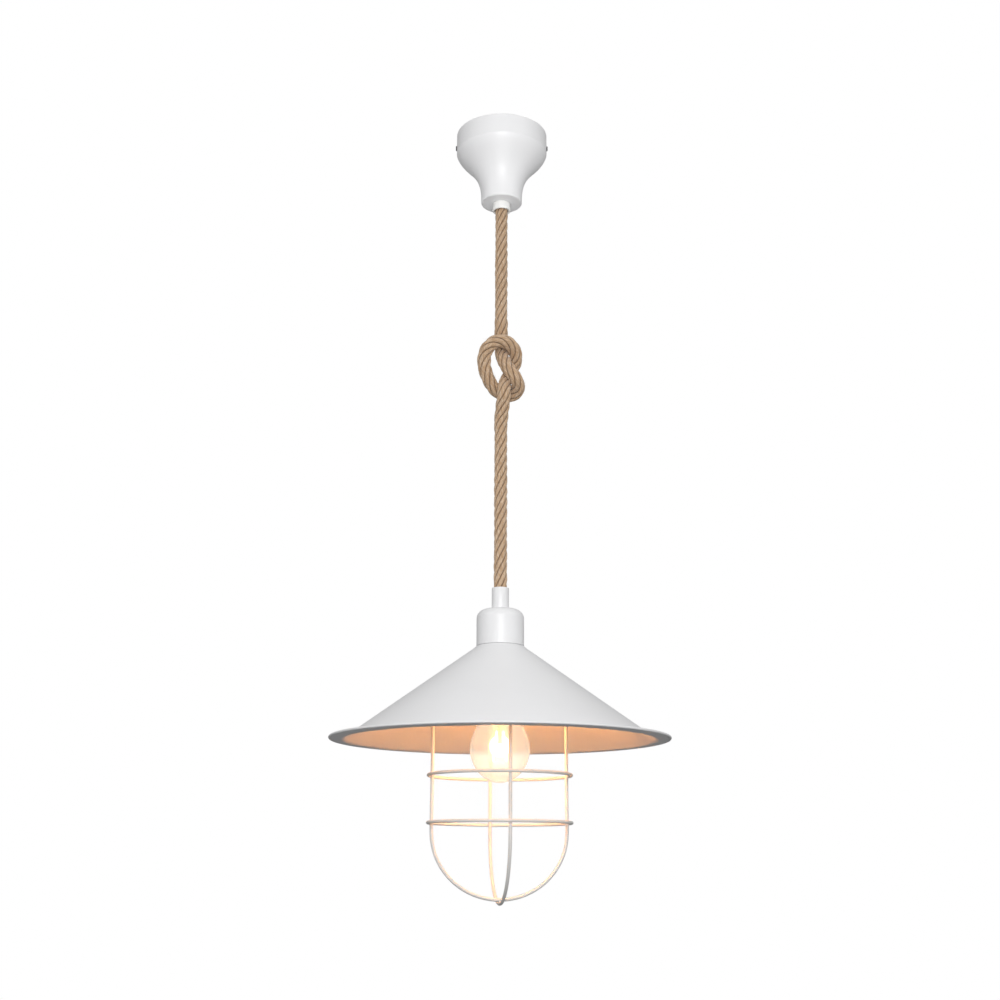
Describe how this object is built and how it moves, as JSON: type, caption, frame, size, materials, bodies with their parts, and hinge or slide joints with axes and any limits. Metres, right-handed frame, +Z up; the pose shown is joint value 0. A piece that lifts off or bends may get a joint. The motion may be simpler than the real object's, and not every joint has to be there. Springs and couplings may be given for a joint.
{
  "type": "hanging lantern",
  "caption": "Pendant lantern with a bell canopy, a knotted rope, a cone shade with a flat rim, and a wire guard round a screw-in bulb.",
  "frame": {"origin": "centre of the bracket's top face, which meets the ceiling", "axes": "+Z up into the ceiling, -Y to the front"},
  "size_m": [0.34, 0.34, 0.8309],
  "materials": {
    "white_enamel": "satin powder coat",
    "zinc_steel": "zinc plated",
    "dark_steel": "blackened",
    "brass": "plain",
    "white_nylon": "moulded",
    "black_bakelite": "moulded",
    "jute_rope": "three-strand laid",
    "brown_pvc": "extruded",
    "blue_pvc": "extruded",
    "green_yellow_pvc": "extruded",
    "bulb_glass": "clear",
    "bulb_nickel": "rolled thread",
    "stem_glass": "clear",
    "filament": "phosphor coated"
  },
  "bodies": {
    "ceiling_mount": {"ceiling_bracket": "zinc_steel", "canopy_cover": "white_enamel", "canopy_screw_right": "dark_steel", "canopy_screw_left": "dark_steel", "terminal_block": "white_nylon", "terminal_screw_1": "brass", "terminal_screw_2": "brass", "terminal_screw_3": "brass", "cord_grip": "white_nylon", "cord_grip_screw": "white_nylon", "grip_washer": "zinc_steel", "grip_nut": "zinc_steel", "supply_cable": "white_nylon", "live_lead": "brown_pvc", "earth_lead": "green_yellow_pvc", "neutral_lead": "blue_pvc", "rope_end": "jute_rope"},
    "rope_lead": {"rope_neck": "jute_rope"},
    "rope_drop": {"rope_upper": "jute_rope", "rope_knot": "jute_rope"},
    "lamp_head": {"rope_lower": "jute_rope", "rope_sleeve": "white_enamel", "sleeve_screw": "dark_steel", "socket_cup": "white_enamel", "threaded_nipple": "brass", "nipple_nut": "zinc_steel", "lamp_cable": "white_nylon", "holder_cap": "black_bakelite", "holder_body": "black_bakelite", "holder_terminal_live": "brass", "holder_terminal_neutral": "brass", "holder_lead_live": "brown_pvc", "holder_lead_neutral": "blue_pvc", "centre_contact": "brass", "screw_shell": "brass", "shade": "white_enamel", "guard_collar": "white_enamel", "shade_ring_nut": "black_bakelite", "guard_wire_across": "white_enamel", "guard_wire_along": "white_enamel", "guard_ring_upper": "white_enamel", "guard_ring_lower": "white_enamel"},
    "bulb_carrier": {"bulb_tip_contact": "bulb_nickel"},
    "bulb": {"bulb_glass": "bulb_glass", "bulb_cap": "bulb_nickel", "bulb_insulator": "black_bakelite", "bulb_stem": "stem_glass", "bulb_filament_1": "filament", "bulb_filament_2": "filament", "bulb_filament_3": "filament", "bulb_filament_4": "filament"}
  },
  "joints": [
    {"name": "swing_front_back", "type": "hinge", "parent": "ceiling_mount", "child": "rope_lead", "pos_m": [0, 0, -0.0924], "axis": [1, 0, 0], "range_deg": [-12, 12]},
    {"name": "swing_sideways", "type": "hinge", "parent": "rope_lead", "child": "rope_drop", "pos_m": [0, 0, -0.1182], "axis": [0, 1, 0], "range_deg": [-12, 12]},
    {"name": "head_twist", "type": "hinge", "parent": "rope_drop", "child": "lamp_head", "pos_m": [0, 0, -0.35], "axis": [0, 0, 1], "range_deg": [-90, 90]},
    {"name": "bulb_travel", "type": "slide", "parent": "lamp_head", "child": "bulb_carrier", "axis": [0, 0, 1], "range_m": [-0.0218, 0]},
    {"name": "bulb_unscrew", "type": "hinge", "parent": "bulb_carrier", "child": "bulb", "pos_m": [0, 0, -0.65], "axis": [0, 0, 1], "range_deg": [-2163, 0]}
  ],
  "couplings": [
    {"joint": "bulb_unscrew", "follows": "bulb_travel", "rad_per_m": 1731.4}
  ]
}
